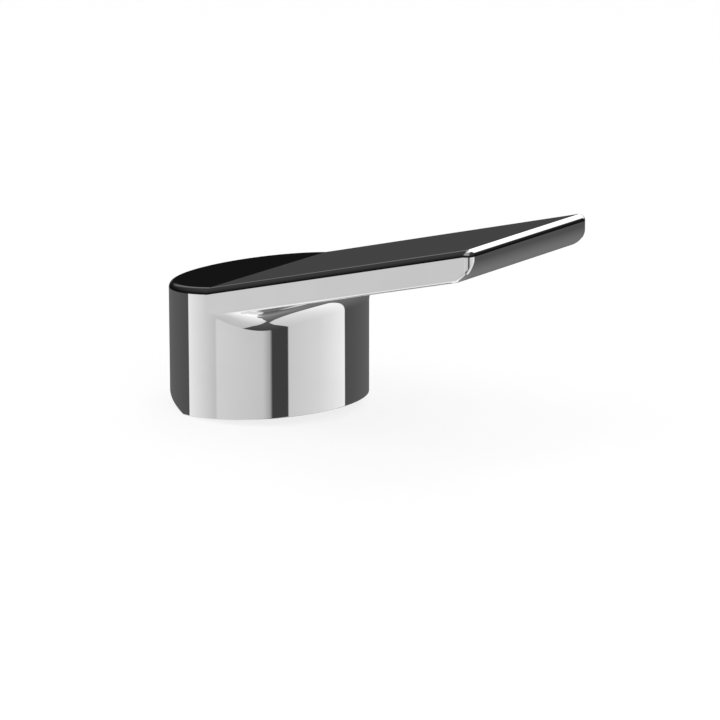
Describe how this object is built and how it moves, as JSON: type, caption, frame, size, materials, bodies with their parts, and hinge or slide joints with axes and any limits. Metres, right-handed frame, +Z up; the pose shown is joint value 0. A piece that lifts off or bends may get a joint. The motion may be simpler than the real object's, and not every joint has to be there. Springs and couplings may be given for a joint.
{
  "type": "tap handle",
  "caption": "Chrome lever handle for a single-lever mixer tap: round hollow hub under a wide flat lever that rises to its tip, with a square stem socket held by a grub screw.",
  "frame": {"origin": "middle of the stem socket's mouth, on the hub's axis", "axes": "+X along the lever towards its tip, +Z up along the hub's axis, out of the top"},
  "size_m": [0.0954, 0.046, 0.0496],
  "materials": {
    "chrome_plating": "bright polished chrome plating on a zinc casting",
    "screw_steel": "plain steel",
    "plug_plastic": "smooth light grey plastic"
  },
  "bodies": {
    "root": {"handle_body": "chrome_plating", "grub_screw": "screw_steel", "cover_plug": "plug_plastic"}
  },
  "joints": []
}
